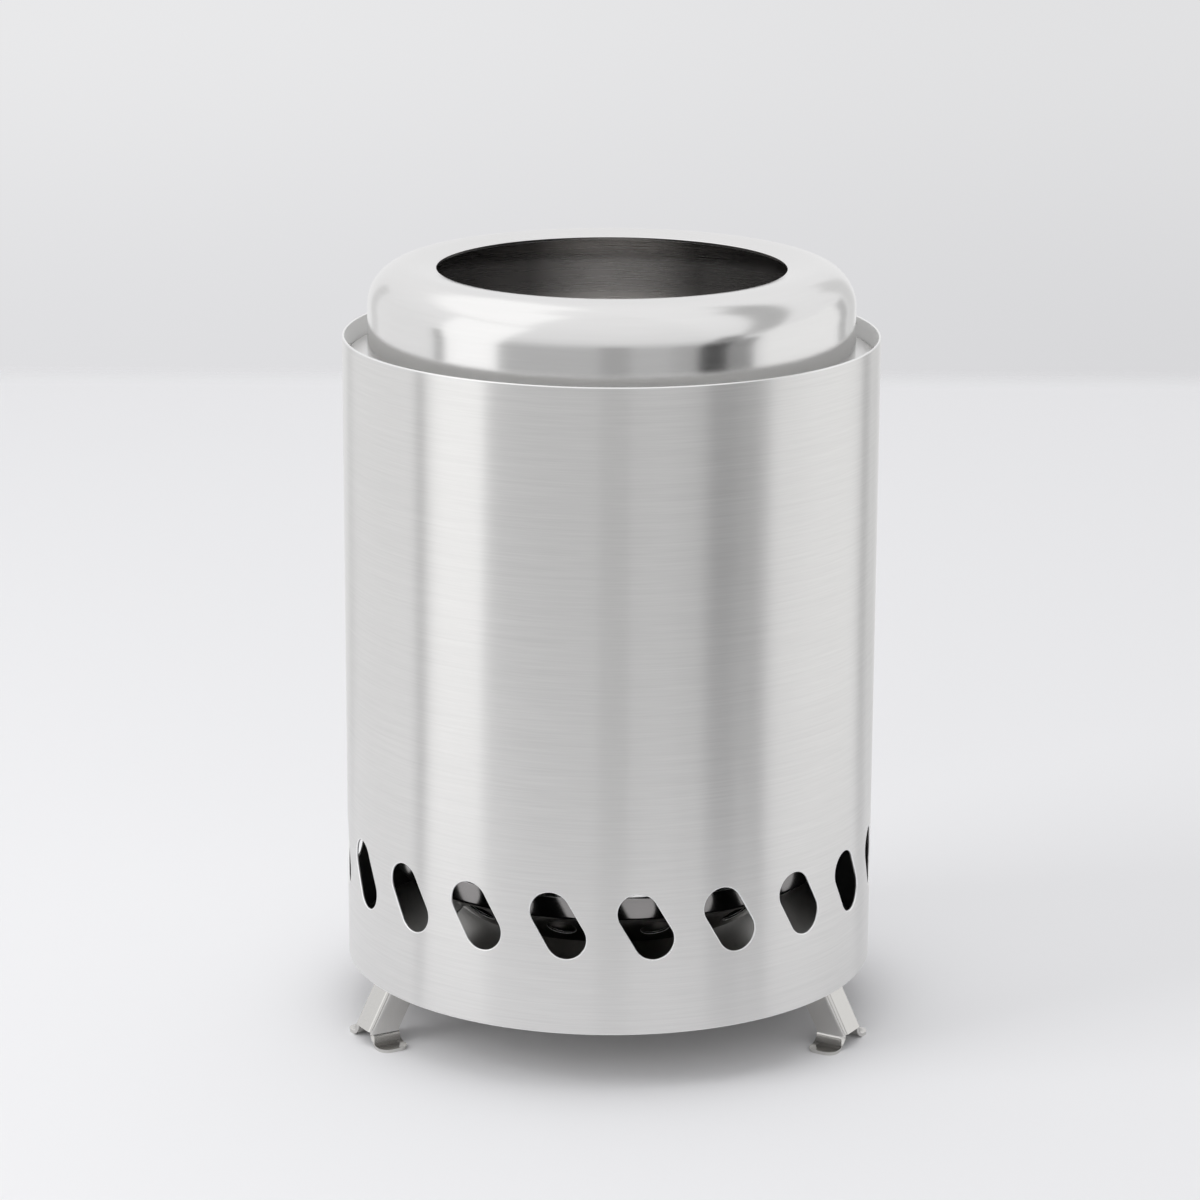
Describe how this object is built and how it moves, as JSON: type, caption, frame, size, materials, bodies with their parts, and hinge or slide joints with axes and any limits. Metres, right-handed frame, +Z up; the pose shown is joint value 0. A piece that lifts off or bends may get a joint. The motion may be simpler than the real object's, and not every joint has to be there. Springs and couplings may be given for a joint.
{
  "type": "twig stove",
  "caption": "Double-walled round steel stove with leaning vent slots, a gutter rim, a lift-off domed flame ring and a three-legged stand.",
  "frame": {"origin": "on the floor, at the middle of the footprint's box; the stove's own axis is 2.2 mm in front of it, at y = -2.185 mm, because the back foot reaches past the wall", "axes": "+Z up along the stove's axis, -Y towards the front, between the two front legs"},
  "size_m": [0.13, 0.1344, 0.1866],
  "materials": {
    "brushed_wall": "brushed round the axis",
    "spun_dome": "fine satin, spun",
    "pressed_parts": "mill",
    "chamber_sheet": "mill, slightly dull",
    "stand_sheet": "satin"
  },
  "bodies": {
    "stand": {"stand_ring": "stand_sheet", "leg_left": "stand_sheet", "leg_right": "stand_sheet", "leg_back": "stand_sheet"},
    "stove": {"outer_wall": "brushed_wall", "base_plate": "pressed_parts", "inner_wall": "chamber_sheet", "gutter_ring": "brushed_wall", "ember_cup": "chamber_sheet"},
    "pan": {"ash_pan": "pressed_parts"},
    "grate": {"fire_grate": "chamber_sheet"},
    "ring": {"flame_ring": "spun_dome", "ring_collar": "pressed_parts"}
  },
  "joints": [
    {"name": "stove_lift", "type": "slide", "parent": "stand", "child": "stove", "axis": [0, 0, 1], "range_m": [0, 0.04]},
    {"name": "ring_lift", "type": "slide", "parent": "stove", "child": "ring", "axis": [0, 0, 1], "range_m": [0, 0.06]},
    {"name": "pan_lift", "type": "slide", "parent": "stove", "child": "pan", "axis": [0, 0, 1], "range_m": [0, 0.05]},
    {"name": "grate_lift", "type": "slide", "parent": "pan", "child": "grate", "axis": [0, 0, 1], "range_m": [0, 0.06]}
  ]
}
